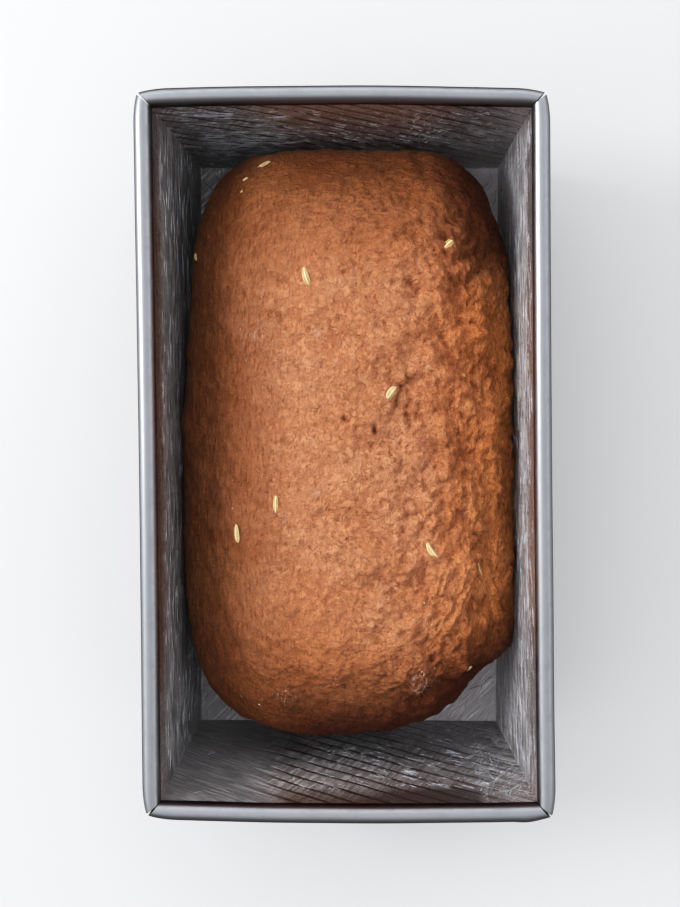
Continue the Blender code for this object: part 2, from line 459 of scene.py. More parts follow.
# Where the wall runs out into the curl: share of BEAD_PROUD, and height from the curl's middle.
CURL_FOOT = ((1.0, -0.0026), (0.8, -0.0018), (0.25, -0.0008))
BEND_STATIONS = 13
MIDDLE_STATIONS = 60
EDGE_WAVE = 0.00008
EDGE_WAVE_SIZE = 0.030
NOCK_PLACE = -0.0585
NOCK_LENGTH = 0.0022
NOCK_SIZE = 0.00035
BEAD_STEEL = ((0.13, 0.13, 0.14, 1), (0.33, 0.34, 0.36, 1))
# Painted dark reflection, laid on the rolled edges by the way they face.
DARK_REFLECTION_TINT = (0.120, 0.095, 0.095, 1)
EDGE_GLEAM = (0.25, 0.24, 0.24, 1)


def curl_profile():
    """The curled sheet in section, as (out, height): up the wall, over, and back under itself."""
    inner = BEAD_RADIUS - SHEET
    turns = np.linspace(math.pi, CURL_ENDS_AT, CURL_STEPS)
    outside = [(BEAD_RADIUS * (1 + math.cos(t)), BEAD_RADIUS * math.sin(t)) for t in turns]
    inside = [(BEAD_RADIUS + inner * math.cos(t), inner * math.sin(t)) for t in turns[::-1]]
    foot_out = [(BEAD_PROUD * share, height) for share, height in CURL_FOOT]
    foot_in = [(SHEET, CURL_FOOT[-1][1]), (SHEET, CURL_FOOT[0][1])]
    return np.array(foot_out + outside + inside + foot_in)


def bead_stations(half_length):
    """Distances along a bead, close together where it bends in at its ends."""
    bend = half_length - BEAD_BEND * np.linspace(0, 1, BEND_STATIONS) ** 1.3
    middle = np.linspace(-bend[-1], bend[-1], MIDDLE_STATIONS)[1:-1]
    return np.concatenate((-bend, middle, bend[::-1]))


def tube_faces(rings, around):
    """Faces of a tube with closed ends, whose points run ring by ring."""
    faces = []
    for ring in range(rings - 1):
        for i in range(around):
            j = (i + 1) % around
            here, there = ring * around, (ring + 1) * around
            faces.append((here + i, there + i, there + j, here + j))
    faces.append(tuple(range(around)))
    faces.append(tuple(reversed(range((rings - 1) * around, rings * around))))
    return faces


def facings(mesh):
    """Which way the mesh faces at each of its points."""
    flat = np.empty(3 * len(mesh.vertices), np.float32)
    mesh.vertex_normals.foreach_get("vector", flat)
    return flat.reshape(-1, 3)


def keep_values(mesh, name, values):
    """Keeps one value for each point on the mesh, for its material to read."""
    layer = mesh.attributes.new(name, "FLOAT", "POINT")
    layer.data.foreach_set("value", np.asarray(values, np.float32))


def rolled_bead(name, half_length, place, turn, nock):
    """One wall's rolled edge, bent in and mitred at both ends, with a nock where it was once struck."""
    profile = curl_profile()
    stations = bead_stations(half_length)
    out = np.tile(profile[:, 0], len(stations))
    height = np.tile(profile[:, 1], len(stations))
    along = np.repeat(stations, len(profile))
    bend = np.clip(1 - (half_length - np.abs(along)) / BEAD_BEND, 0, None)
    out = out * (1 - BEAD_PINCH * bend**2)
    struck = np.exp(-(((along - NOCK_PLACE) / NOCK_LENGTH) ** 2))
    out += nock * struck * (out / BEAD_RADIUS - 1).clip(0, 1)
    height = height * (1 - BEND_FLATTENING * bend**2)
    mitred = np.sign(along) * (np.abs(along) + MITRE_SLOPE * bend * out)
    local = np.column_stack((mitred, out - BEAD_PROUD, height))
    local[:, 1:] += rough(local * (1, 0, 0), EDGE_WAVE_SIZE, half_length + turn)[:, None] * EDGE_WAVE
    turned = local @ np.array(Matrix.Rotation(turn, 3, "Z")).T + (*place, BEAD_LEVEL)
    mesh = bpy.data.meshes.new(name)
    mesh.from_pydata(sprung(turned).tolist(), [], tube_faces(len(stations), len(profile)))
    lengthwise = mesh.uv_layers.new(name="brushing")
    for loop in mesh.loops:
        station, step = divmod(loop.vertex_index, len(profile))
        lengthwise.uv[loop.index].vector = (stations[station] + turn, step * CURL_STEP_LENGTH)
    towards_far = facings(mesh)[:, 1]
    # Painted dark reflection: darker and browner where the curl faces the near end, and most where it
    # faces out at the far end.
    painted_dark_reflection = step_up(-towards_far, 0.15, 0.65) + 1.3 * step_up(towards_far, 0.60, 0.85)
    keep_values(mesh, "painted_dark_reflection", painted_dark_reflection)
    mesh.shade_smooth()
    mesh.set_sharp_from_angle(angle=math.radians(50))
    return new_piece(name, mesh)


bead_steel, tree, shader = new_material("bead_steel", {"Metallic": 1.0, "Specular Tint": EDGE_GLEAM})
steel = add(tree, "ShaderNodeGroup", {"Dulling": 0.7}, node_tree=steel_grain)
connect(tree, steel, {"Place": add(tree, "ShaderNodeUVMap", uv_map="brushing").outputs[0]})
painted_dark_reflection = reckon(tree, "MULTIPLY", kept(tree, "painted_dark_reflection"), 0.72)
relief = add(tree, "ShaderNodeBump", {"Height": steel.outputs["Height"], "Distance": 0.00003})
surface = {
    "Base Color": blend(tree, painted_dark_reflection, blend(tree, steel.outputs["Tone"], *BEAD_STEEL), DARK_REFLECTION_TINT),
    "Roughness": reckon(tree, "ADD", steel.outputs["Gloss"], 0.33),
    "Normal": relief.outputs[0],
}
connect(tree, shader, surface)

side_run = OPENING_LENGTH / 2 - MITRE_INSET
end_run = OPENING_WIDTH / 2 - MITRE_INSET
for name, run, place, turn, nock in (
    ("bead_left", side_run, (-OPENING_WIDTH / 2, 0), math.pi / 2, 0.0),
    ("bead_right", side_run, (OPENING_WIDTH / 2, 0), -math.pi / 2, 0.0),
    ("bead_far", end_run, (0, OPENING_LENGTH / 2), 0.0, 0.0),
    ("bead_near", end_run, (0, -OPENING_LENGTH / 2), math.pi, NOCK_SIZE),
):
    bead = rolled_bead(name, run, place, turn, nock)
    bead.data.materials.append(bead_steel)
    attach(bead, "root")
    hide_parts("tin")

# ---------------------------------------------------------------------------------------------------
# The fat: softened fat brushed over the floor and walls. Where the bristles drag, it stands in thin
# pale strands on the steel, long on the side walls, slanted on the ends, and bunched in the corners.
STRAND_RISE = 0.00010
STRAND_SINK = 0.00003
STRAND_STEPS = 9
STRAND_SECTION = (-1.0, -0.4, 0.4, 1.0)
CORNER_GAP = 0.0004
STRAND_TINTS = ((0.40, 0.43, 0.49, 1), (0.74, 0.76, 0.80, 1))


def wall_place(wall, along, up, off):
    """Points on the inside of a wall, standing this far off it, before the tin springs out of square."""
    share = 0.0 if wall == "floor" else wall_share(up)
    half_width = OPENING_WIDTH / 2 - SIDE_LEAN * (1 - share) - off
    half_length = OPENING_LENGTH / 2 - END_LEAN * (1 - share) - off
    farthest = (half_width if wall in ("near", "far") else half_length) - CORNER_GAP
    along = np.clip(along, -farthest, farthest)
    lowest, highest = (-half_width, half_width) if wall == "floor" else (FLOOR_LEVEL, BEAD_LEVEL)
    up = np.clip(up, lowest + CORNER_GAP, highest - CORNER_GAP)
    sides = {
        "near": (along, -half_length, up),
        "far": (along, half_length, up),
        "left": (-half_width, along, up),
        "right": (half_width, along, up),
        "floor": (up, along, FLOOR_LEVEL + off),
    }
    return np.column_stack(np.broadcast_arrays(*sides[wall]))


# For each patch: wall, strands, along from and to, up from and to, slant, spread, length, width. On the
# floor, up is across the tin.
STRAND_PATCHES = (
    ("near", 120, -0.018, 0.050, 0.006, 0.056, 0.54, 0.10, 0.0060, 0.00032),
    ("near", 110, -0.014, 0.050, 0.008, 0.054, -0.75, 0.16, 0.0035, 0.00026),
    ("near", 90, 0.046, 0.061, 0.010, 0.064, -1.05, 0.35, 0.0080, 0.00046),
    ("near", 8, -0.056, -0.030, 0.026, 0.064, -0.30, 0.30, 0.0040, 0.00028),
    ("far", 200, -0.056, -0.020, 0.010, 0.062, -0.12, 0.12, 0.0085, 0.00040),
    ("far", 240, -0.024, 0.052, 0.012, 0.062, -0.50, 0.10, 0.0050, 0.00030),
    ("far", 46, 0.024, 0.036, 0.030, 0.062, 1.30, 0.25, 0.0045, 0.00030),
    ("far", 46, 0.050, 0.061, 0.020, 0.064, -0.90, 0.50, 0.0060, 0.00038),
    ("right", 620, -0.112, 0.112, 0.008, 0.064, -0.05, 0.16, 0.0100, 0.00042),
    ("left", 420, -0.112, 0.112, 0.006, 0.058, 0.05, 0.14, 0.0090, 0.00036),
    ("floor", 200, -0.110, -0.068, -0.058, 0.058, 0.60, 0.60, 0.0070, 0.00050),
    ("floor", 180, 0.084, 0.110, -0.058, 0.058, 0.20, 0.60, 0.0070, 0.00050),
)


def fat_strands():
    """Every strand is a lens in section, bowed along its length, and drawn out thin at both ends."""
    random = np.random.default_rng(41)
    points, faces = [], []
    travel = np.linspace(-1, 1, STRAND_STEPS)
    for wall, count, from_along, to_along, from_up, to_up, slant, spread, length, width in STRAND_PATCHES:
        for _ in range(count):
            middle = np.array((random.uniform(from_along, to_along), random.uniform(from_up, to_up)))
            turn = slant + random.normal(0, spread)
            half = length * random.lognormal(-0.25, 0.45) / 2
            wide = width * random.lognormal(-0.2, 0.4) / 2
            bow = random.normal(0, 0.10) * half
            wobble = random.uniform(0, 2 * math.pi)
            way = np.array((math.cos(turn), math.sin(turn)))
            side = np.array((-way[1], way[0]))
            sway = bow * (1 - travel**2) + 0.04 * half * np.sin(travel * 5 + wobble)
            spine = middle + travel[:, None] * half * way + sway[:, None] * side
            swell = np.sqrt(np.clip(1 - travel**2, 0, 1)) * (1 + 0.25 * np.sin(travel * 7 + wobble))
            start = len(points) * 4
            for at, thick in zip(spine, swell):
                edge = side * wide * max(thick, 0.03)
                rise = STRAND_RISE * thick * (wide / width * 2) ** 0.5
                section = at + np.outer(STRAND_SECTION, edge)
                lifts = np.array((-STRAND_SINK, rise, rise, -STRAND_SINK))
                points.append(wall_place(wall, section[:, 0], section[:, 1], lifts))
            faces.extend(tuple(start + corner for corner in face) for face in tube_faces(STRAND_STEPS, 4))
    return sprung(np.concatenate(points)), faces


points, faces = fat_strands()
strands_mesh = bpy.data.meshes.new("fat_strands")
strands_mesh.from_pydata(points.tolist(), [], faces)
strands_mesh.shade_smooth()
strands = new_piece("fat_strands", strands_mesh)

baking_fat, tree, shader = new_material("baking_fat", {"Roughness": 0.34, "IOR": 1.46})
place = add(tree, "ShaderNodeTexCoord").outputs["Object"]
cloud = grain(tree, place, (220, 220, 220), detail=3)
surface = {
    "Base Color": blend(tree, cloud, *STRAND_TINTS),
    "Alpha": between(tree, cloud, 0.30, 0.70, 0.15, 0.80),
}
connect(tree, shader, surface)
strands_mesh.materials.append(baking_fat)

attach(strands, "root")

# ---------------------------------------------------------------------------------------------------
# The loaf: one lump of rye dough, rolled up by hand and laid in the tin, where it touches both side
# walls. Its skin is moist and leathery, smooth and stretched on the left, torn and lumpy on the right.
MM = 0.001
LOAF_HALF_WIDTH = 0.0612
LOAF_HALF_LENGTH = 0.1073
LOAF_MIDDLE = np.array((0.0007, 0.0031))
LOAF_NARROWING = 0.055
END_FULLNESS = 0.40
WIDEST_LEVEL = 0.0270
CROWN_LEVEL = 0.0605
BASE_DROP = 0.0300
FAR_END_SQUARENESS = 4.4
NEAR_END_SQUARENESS = 3.1
TOP_SQUARENESS = 2.25
BASE_SQUARENESS = 3.2
LOAF_CLEARANCE = 0.0005
LUMP_HEIGHT = 0.0008
LUMP_SIZE = 0.017
# Swells and hollows of the loaf's outline: place, reach, and push outwards.
OUTLINE_SWELLS = (
    ((0.060, -0.068), 0.010, 0.0026),
    ((0.034, -0.099), 0.020, -0.0018),
    ((-0.012, -0.106), 0.016, 0.0016),
    ((-0.062, 0.006), 0.011, 0.0012),
    ((-0.060, 0.060), 0.018, -0.0016),
    ((-0.050, 0.096), 0.017, -0.0030),
    ((0.058, 0.058), 0.015, -0.0012),
    ((0.050, -0.092), 0.018, -0.0068),
    ((0.052, 0.094), 0.015, -0.0030),
)
SKIN_ACROSS = 160
SKIN_ALONG = 280
SKIN_DOWN = 40
SKIN_UNDER = 10
BASE_RINGS = (0.95, 0.90, 0.85, 0.80)
RING_REACH = 0.062


def block_skin():
    """Points and faces of a cube's skin: its top as a grid, then rings down its sides and under it."""
    across = np.linspace(-1, 1, SKIN_ACROSS + 1)
    along = np.linspace(-1, 1, SKIN_ALONG + 1)
    grid = np.array([(x, y, 1.0) for y in along for x in across])
    row = SKIN_ACROSS + 1
    index = np.arange(len(grid)).reshape(SKIN_ALONG + 1, row)
    edge = np.concatenate((index[0, :-1], index[:-1, -1], index[-1, :0:-1], index[:0:-1, 0]))
    faces = [
        (index[j, i], index[j, i + 1], index[j + 1, i + 1], index[j + 1, i])
        for j in range(SKIN_ALONG)
        for i in range(SKIN_ACROSS)
    ]
    rim = grid[edge]
    down = np.linspace(1, 0, SKIN_DOWN + 1)[1:]
    under = np.linspace(0, -1, SKIN_UNDER + 1)[1:]
    levels = np.concatenate((down, under))
    rings = [rim * (1, 1, 0) + (0, 0, level) for level in levels]
    rings += [rim * (share, share, 0) + (0, 0, -1) for share in BASE_RINGS]
    points = np.concatenate([grid] + rings)
    above = edge
    for ring in range(len(rings)):
        below = len(grid) + ring * len(edge) + np.arange(len(edge))
        for i in range(len(edge)):
            j = (i + 1) % len(edge)
            faces.append((above[j], above[i], below[i], below[j]))
        above = below
    faces.append(tuple(above[::-1]))
    return points, [tuple(int(corner) for corner in face) for face in faces]


def on_pillow(points):
    """Maps the cube's skin to a squared pillow. Also how far out each point is: 0 at the top's middle."""
    x, y, z = np.abs(points.T)
    plan = np.where(points[:, 1] > 0, FAR_END_SQUARENESS, NEAR_END_SQUARENESS)
    rise = np.where(points[:, 2] > 0, TOP_SQUARENESS, BASE_SQUARENESS)
    flat = (x**plan + y**plan) ** (1 / plan)
    size = (flat**rise + z**rise) ** (1 / rise)
    return points / size[:, None], flat / size


def swollen(points):
    """Pushes the loaf's outline in or out at its named swells."""
    plan = points[:, :2]
    outwards = plan / np.maximum(np.linalg.norm(plan, axis=1), 1e-6)[:, None]
    push = np.zeros(len(points))
    for place, reach, amount in OUTLINE_SWELLS:
        away = np.linalg.norm(plan - place, axis=1) / reach
        push += amount * np.exp(-(away**2))
    return np.column_stack((plan + outwards * push[:, None], points[:, 2]))


def pressed_in_tin(points):
    """Flattens the dough where it meets the floor and the side walls."""
    x, y, z = points.T
    z = np.maximum(z, FLOOR_LEVEL + LOAF_CLEARANCE)
    most = OPENING_WIDTH / 2 - SIDE_LEAN * (1 - wall_share(z)) - LOAF_CLEARANCE
    return np.column_stack((np.clip(x, -most, most), y, z))


def near_line(plan, line):
    """Distance of each place to a line of points, which side it is on, and the share along it."""
    best = np.full(len(plan), np.inf)
    side = np.zeros(len(plan))
    share = np.zeros(len(plan))
    line = np.array(line, float)
    runs = np.linalg.norm(np.diff(line, axis=0), axis=1)
    before = np.concatenate(([0], np.cumsum(runs)))
    for start, end, run, done in zip(line[:-1], line[1:], runs, before):
        way = (end - start) / run
        gone = np.clip((plan - start) @ way, 0, run)
        off = plan - start - gone[:, None] * way
        away = np.linalg.norm(off, axis=1)
        closer = away < best
        best = np.where(closer, away, best)
        side = np.where(closer, np.sign(off @ np.array((-way[1], way[0]))), side)
        share = np.where(closer, (done + gone) / before[-1], share)
    return best, side, share


# Places on the loaf are in millimetres from the middle of the tin. Tears: line, depth, width.
TEARS = (
    (((0.9, 65.0), (2.0, 59.7)), 0.7, 0.7),
    (((8.9, 50.6), (7.9, 42.2), (5.8, 35.3)), 0.8, 0.8),
    (((27.0, 29.8), (20.7, 24.6), (18.5, 21.0), (16.2, 13.9), (15.2, 10.7)), 1.0, 0.8),
    (((21.4, 17.7), (21.1, 13.9), (21.5, 9.7)), 0.8, 0.7),
    (((15.2, 6.9), (15.2, 1.4), (17.3, -2.4)), 0.9, 0.8),
    (((16.6, 58.3), (14.1, 56.5)), 0.6, 0.6),
    (((34.7, 35.8), (37.6, 33.0)), 0.6, 0.7),
    (((0.0, -0.3), (2.8, 1.4)), 0.6, 0.6),
    (((3.1, 14.9), (2.4, 12.1)), 0.6, 0.6),
    (((-16.3, -2.5), (-16.6, -7.0), (-14.9, -9.7)), 0.6, 0.6),
    (((8.7, -26.4), (5.6, -30.6)), 0.7, 0.7),
    (((16.0, -40.4), (16.4, -43.6)), 0.6, 0.6),
    (((-12.1, 28.0), (-14.2, 24.2)), 0.8, 0.6),
    (((-10.7, 26.6), (-10.9, 23.6)), 0.6, 0.5),
    (((-8.3, 28.0), (-8.3, 25.2)), 0.6, 0.5),
    (((-12.4, 16.6), (-7.9, 13.5)), 0.8, 0.6),
    (((-15.6, 20.4), (-16.3, 16.6)), 0.7, 0.6),
    (((1.4, -17.7), (7.0, -22.5)), 0.8, 0.8),
    (((24.8, 86.3), (28.2, 78.7), (30.7, 76.2)), 0.9, 1.2),
    (((54.0, -52.0), (56.8, -57.5)), 1.0, 0.9),
)
# Folds: line, height, width. The side that faces the right falls away steeply.
FOLDS = (
    (((32.5, 82.4), (38.5, 77.2), (37.7, 70.3), (35.2, 64.2), (37.3, 61.0)), 0.9, 1.8),
    (((41.0, -24.1), (43.6, -35.2), (45.1, -41.0), (38.7, -53.6), (29.3, -68.2)), 1.3, 2.2),
    (((53.5, -59.6), (58.0, -66.0)), 0.9, 2.0),
)
# Lumps that stand out of the skin, or hollows pressed into it: place, size, height.
LUMPS = (
    ((-58.9, 9.6), 4.0, 1.0),
    ((-55.2, 35.4), 3.5, 0.7),
    ((57.3, -49.5), 4.5, 0.9),
    ((-31.3, 60.5), 3.0, -0.5),
    ((-18.0, -37.0), 2.6, -0.4),
)
# Places of the small crescent splits.
CRESCENTS = (
    (-19.4, 4.8), (-18.0, 3.1), (-26.8, 72.9), (-26.7, 68.2), (-22.3, 75.7), (-30.0, 4.3), (3.1, 37.0),
    (11.0, 36.0), (4.1, 32.8), (5.4, 87.0), (5.4, 67.1), (21.8, 63.9), (29.4, 88.7), (23.9, 16.3),
    (11.8, 9.7), (13.5, -2.7), (42.3, 13.4), (6.3, -36.9), (-15.8, -60.7), (-24.1, -73.2), (-0.1, -80.1),
    (8.8, -82.4), (15.0, -38.7), (17.5, 100.5),
)
CRESCENT_DEPTH = 0.40
CRESCENT_WIDTH = 0.70
# Small tears scattered over the torn right half: how many, and their middle and spread each way.
RANDOM_TEARS = 230
TEARS_TO_RIGHT = (16, 20)
TEARS_TO_FAR = (2, 42)
TEAR_DEPTH_SHARE = 0.75
NARROWEST_TEAR = 0.75


def tear(height, plan, line, depth, width):
    """A short split with a raised lip along one side."""
    away, side, share = near_line(plan, line)
    fade = np.sqrt(np.clip(1 - (2 * share - 1) ** 4, 0, 1)) * 0.85 + 0.15
    height -= depth * fade * np.exp(-((away / width) ** 2))
    height += 0.35 * depth * fade * (side > 0) * np.exp(-(((away - 1.6 * width) / (1.1 * width)) ** 2))


def crease(points, size, seed):
    """Noise of rounded rises parted by sharp creases, from -0.4 to about 1."""
    return 2 * np.abs(rough(points, size, seed)) - 0.4


def skin_rises(plan, body, ring, drift):
    """How far the skin's creases, rises and crags stand above the smooth loaf, in mm."""
    x, y = plan.T
    torn = step_up(x + 6 * rough(body, 22, 5), -6, 30) * (1 - 0.5 * step_up(np.abs(y), 70, 100))
    stretched = 1 - step_up(x, -44, -22)
    edge = step_up(ring, 0.35, 0.75) * (1 - 0.75 * step_up(ring, 0.78, 1.0))
    wrapped = np.column_stack((plan, ring * RING_REACH / MM))
    crumpled = body + 1.3 * drift
    height = 0.75 * crease(wrapped + drift * (1, 1, 0.6), (9.0, 9.0, 2.4), 2) * edge
    height += 0.45 * crease(wrapped, (6.0, 6.0, 1.3), 9) * edge
    height += 0.55 * crease(crumpled, 3.4, 1) * (1 - 0.45 * stretched)
    height += 0.34 * crease(crumpled, 1.9, 3) * (1 - 0.35 * stretched)
    height += 0.40 * crease(body, (2.3, 9.0, 9.0), 6) * stretched
    height += 1.15 * rough(body, 7.0, 11) * (1 - 0.3 * stretched)
    height += (0.5 + 2.0 * torn) * rough(body, 11.0, 14) * (1 - 0.5 * stretched)
    height += 0.50 * rough(crumpled, 3.5, 12)
    crag = 0.90 * rough(crumpled, 7.0, 13) + 1.45 * crease(crumpled, 6.2, 17)
    crag += 0.55 * crease(crumpled, 3.1, 19)
    height += 1.20 * crag * (0.10 + 0.90 * torn) * (1 - 0.8 * stretched)
    return height * (1 - 0.55 * step_up(ring, 0.80, 1.0))


def skin_splits(plan, body, drift):
    """How far the skin's splits open below it, and the lips beside them stand above it, in mm."""
    splits = np.zeros(len(plan))
    jagged = np.column_stack([rough(body, 2.0, seed) for seed in (43, 47)])
    ragged = plan + 0.7 * drift[:, :2] + 0.5 * jagged
    random = np.random.default_rng(9)
    for _ in range(RANDOM_TEARS):
        middle = np.array((random.normal(*TEARS_TO_RIGHT), random.normal(*TEARS_TO_FAR)))
        way = random.uniform(0, math.pi)
        half = random.uniform(0.7, 2.4)
        step = np.array((math.cos(way), math.sin(way))) * half
        bow = np.array((-step[1], step[0])) * random.uniform(-0.5, 0.5)
        close = np.abs(plan - middle).max(axis=1) < 6
        part = splits[close]
        line = (middle - step, middle + bow, middle + step)
        tear(part, ragged[close], line, random.uniform(0.20, 0.60), random.uniform(0.55, 0.85))
        splits[close] = part
    for line, depth, width in TEARS:
        tear(splits, ragged, line, depth * TEAR_DEPTH_SHARE, max(width, NARROWEST_TEAR))
    for place in CRESCENTS:
        bend = np.linspace(1.7, 4.7, 6) + random.uniform(-0.5, 0.5)
        arc = np.column_stack((np.cos(bend), np.sin(bend))) * random.uniform(1.0, 2.0) + place
        tear(splits, ragged, arc, CRESCENT_DEPTH, CRESCENT_WIDTH)
    return splits * np.clip(0.75 + 1.3 * rough(body, 1.8, 53), 0.1, 1.4)


def skin_relief(points, ring):
    """How far the dough's skin stands above or below the smooth loaf, and its splits alone, in mm."""
    plan = points[:, :2] / MM
    body = points / MM
    drift = np.column_stack([rough(body, 3.6, seed) for seed in (31, 37, 41)])
    height = skin_rises(plan, body, ring, drift)
    splits = skin_splits(plan, body, drift)
    for line, rise, width in FOLDS:
        away, side, share = near_line(plan, line)
        fade = np.sqrt(np.clip(1 - (2 * share - 1) ** 2, 0, 1))
        steep = np.where(side > 0, width * 0.6, width * 1.6)
        height += rise * fade * np.exp(-((away / steep) ** 2))
    for place, size, rise in LUMPS:
        away = np.linalg.norm(plan - place, axis=1) / size
        height += rise * np.exp(-(away**4))
    free = step_up(points[:, 2], 0.004, 0.020)
    return (height + splits) * free, splits * free


cube_points, loaf_faces = block_skin()
pillow, ring = on_pillow(np.tan(cube_points * math.pi / 4))
rise = np.where(pillow[:, 2] > 0, CROWN_LEVEL - WIDEST_LEVEL, BASE_DROP)
width = LOAF_HALF_WIDTH * (1 - LOAF_NARROWING * pillow[:, 1])
filled = pillow[:, 1] * (1 + END_FULLNESS * (1 - np.abs(pillow[:, 1])))
smooth = np.column_stack(
    (
        pillow[:, 0] * width + LOAF_MIDDLE[0],
        filled * LOAF_HALF_LENGTH + LOAF_MIDDLE[1],
        WIDEST_LEVEL + pillow[:, 2] * rise,
    )
)
smooth = swollen(smooth)
smooth[:, 2] += rough(smooth, LUMP_SIZE) * LUMP_HEIGHT * np.maximum(pillow[:, 2], 0) ** 0.5
loaf_mesh = bpy.data.meshes.new("loaf")
loaf_mesh.from_pydata(smooth.tolist(), [], loaf_faces)
loaf_mesh.update()
relief_mm, splits_mm = skin_relief(smooth, ring)
skin = smooth + facings(loaf_mesh) * (relief_mm * MM)[:, None]
set_points(loaf_mesh, sprung(pressed_in_tin(skin)))

# Painted shade: the skin is painted darker down its flanks, less at the ends and the far end's middle,
# wider but softer on the left, and hardly on the torn right side.
to_right, to_far = smooth[:, 0], smooth[:, 1]
torn_side = step_up(to_right, -0.005, 0.025) * (1 - step_up(np.abs(to_far), 0.045, 0.080))
far_middle = step_up(to_far, 0.060, 0.090) * (1 - step_up(np.abs(to_right), 0.025, 0.045))
left_side = step_up(-to_right, 0.010, 0.035)
shade_held_back = step_up(np.abs(to_far), 0.030, 0.060) * (1 - step_up(np.abs(to_right), 0.030, 0.055))
shade_held_back *= np.where(to_far > 0, 0.09, 0.14)
painted_flank_shade = step_up(ring, 0.28 + shade_held_back - 0.16 * left_side, 0.93) * (1 - 0.26 * left_side)
painted_flank_shade *= (1 - 0.92 * torn_side) * (1 - 0.30 * far_middle)
painted_flank_shade = np.maximum(painted_flank_shade, 0.34 * torn_side * step_up(ring, 0.88, 1.0))
keep_values(loaf_mesh, "relief", relief_mm)
keep_values(loaf_mesh, "splits", splits_mm)
keep_values(loaf_mesh, "ring", ring)
keep_values(loaf_mesh, "painted_flank_shade", painted_flank_shade)
keep_values(loaf_mesh, "ragged", step_up(to_right, -0.030, 0.0) * (1 - 0.6 * step_up(ring, 0.5, 0.9)))

# Where flour still shows: place and size in millimetres, and strength.
FLOUR_PATCHES = (
    ((-29.7, 41.9), 6.0, 0.55),
    ((-34.7, 33.6), 2.0, 0.5),
    ((-32.9, 19.6), 2.0, 0.4),
    ((-10.8, 41.2), 4.0, 0.6),
    ((-28.9, -7.5), 1.6, 0.5),
    ((-21.9, -22.0), 1.8, 0.7),
    ((-19.8, -26.9), 1.3, 0.7),
    ((-10.7, -13.5), 2.2, 0.5),
    ((13.6, -45.4), 3.0, 0.4),
    ((-22.3, -85.2), 3.6, 0.5),
    ((25.9, -80.3), 4.6, 0.9),
    ((28.5, -7.4), 2.4, 0.4),
)
dusting = np.zeros(len(skin))
for place, size, strength in FLOUR_PATCHES:
    away = np.linalg.norm(smooth[:, :2] / MM - place, axis=1) / size
    dusting = np.maximum(dusting, strength * np.exp(-(away**2)))
keep_values(loaf_mesh, "flour", dusting)
loaf_mesh.shade_smooth()
loaf = new_piece("loaf", loaf_mesh)

DRY_CRUMB = ((0.870, 0.390, 0.200, 1), (0.960, 0.468, 0.268, 1))
BRAN_BROWN = (0.430, 0.140, 0.042, 1)
PALE_CRUMB = (0.920, 0.520, 0.370, 1)
# Painted shade in the skin's creases.
CREASE_SHADE = (0.330, 0.105, 0.032, 1)
# Painted shade in the skin's hollows.
HOLLOW_SHADE = (0.300, 0.085, 0.026, 1)
# Painted shade in the splits and cuts.
SPLIT_SHADE = (0.330, 0.105, 0.035, 1)
RAISED_LIP = (0.740, 0.390, 0.220, 1)
BRAN_FLECK = (0.720, 0.440, 0.300, 1)
# Painted highlight on one lip of each cut.
LIP_HIGHLIGHT = (0.900, 0.560, 0.360, 1)
# Painted shade: a warmer, darker tint towards the loaf's edges.
FLANK_SHADE_WARMTH = (1.0, 0.90, 0.60, 1)
# Painted light: the loaf's right side is made a little lighter.
RIGHT_SIDE_PAINTED_LIGHT = (1.08, 1.05, 1.02, 1)
# Painted shade down the loaf's flanks.
FLANK_SHADE_DARKENING = (0.165, 0.098, 0.070, 1)
FLOUR_DUST = (0.700, 0.560, 0.520, 1)


def creased(tree, noise, width):
    """0 along the lines where a noise crosses its middle, rising to 1 at this distance from them."""
    off = reckon(tree, "ABSOLUTE", reckon(tree, "SUBTRACT", noise, 0.5))
    return between(tree, off, 0.0, width)


dough, tree, shader = new_material("rye_dough", {"IOR": 1.42, "Specular IOR Level": 0.32})
place = add(tree, "ShaderNodeTexCoord").outputs["Object"]
reach = kept(tree, "ring")
split = kept(tree, "splits")

# The skin: thin plates a millimetre or two across, parted by creases that run round the loaf's edge
# and lengthwise down its stretched left side.
spread = add(tree, "ShaderNodeSeparateXYZ", {0: place}).outputs
round_edge = reckon(tree, "MULTIPLY", reach, RING_REACH)
wrapped = add(tree, "ShaderNodeCombineXYZ", {0: spread["X"], 1: spread["Y"], 2: round_edge}).outputs[0]
leathery = grain(tree, place, (260, 260, 260), detail=5, roughness=0.66, distortion=0.15)
plates = creased(tree, leathery, 0.10)
small = creased(tree, grain(tree, place, (760, 760, 760), detail=4, roughness=0.62), 0.12)
wrinkle = creased(tree, grain(tree, wrapped, (150, 150, 620), detail=4, roughness=0.6), 0.11)
drawn = creased(tree, grain(tree, place, (520, 110, 110), detail=4, roughness=0.62), 0.11)
plates = mixed(tree, between(tree, reach, 0.35, 0.75), plates, wrinkle)
plates = mixed(tree, between(tree, spread["X"], -0.028, -0.048, 0.0, 0.8), plates, drawn)
crumb = grain(tree, place, (1100, 1100, 1100), detail=5, roughness=0.70)
patch = grain(tree, place, (38, 38, 38), detail=3)
even = grain(tree, place, (620, 620, 620), detail=5, roughness=0.74)
stringy = grain(tree, place, (1150, 260, 600), detail=5, roughness=0.70)
mottle = mixed(tree, between(tree, spread["X"], 0.015, -0.035, 0.10, 0.80), even, stringy)
bran = grain(tree, place, (1500, 1500, 1500), detail=2, roughness=0.7)

